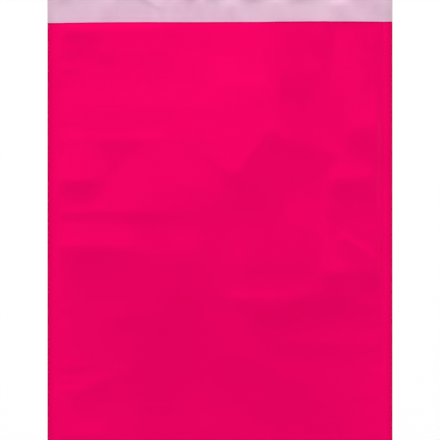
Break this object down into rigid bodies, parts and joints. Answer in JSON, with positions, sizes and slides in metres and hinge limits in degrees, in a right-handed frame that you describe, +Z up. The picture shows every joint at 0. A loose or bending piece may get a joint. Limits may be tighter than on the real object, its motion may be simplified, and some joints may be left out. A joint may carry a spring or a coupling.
{
  "type": "poly mailer bag",
  "caption": "Flat film shipping envelope, open at the mouth, with a fold-over flap whose glue strip lies under a peel-off liner.",
  "frame": {"origin": "on the surface that the bag lies on, under the middle of the outline of bag and flap", "axes": "+Z up from the back panel to the front panel, +Y from the bottom fold to the flap's lip, X across the bag"},
  "size_m": [0.254, 0.381, 0.012],
  "materials": {
    "pink_film": "satin polyethylene film, hot pink outside and pale inside",
    "glue": "clear hot-melt glue, slightly amber",
    "liner": "siliconed release film, milky and smooth"
  },
  "bodies": {
    "root": {"film_bag": "pink_film", "glue_strip": "glue", "release_liner": "liner"}
  },
  "joints": []
}
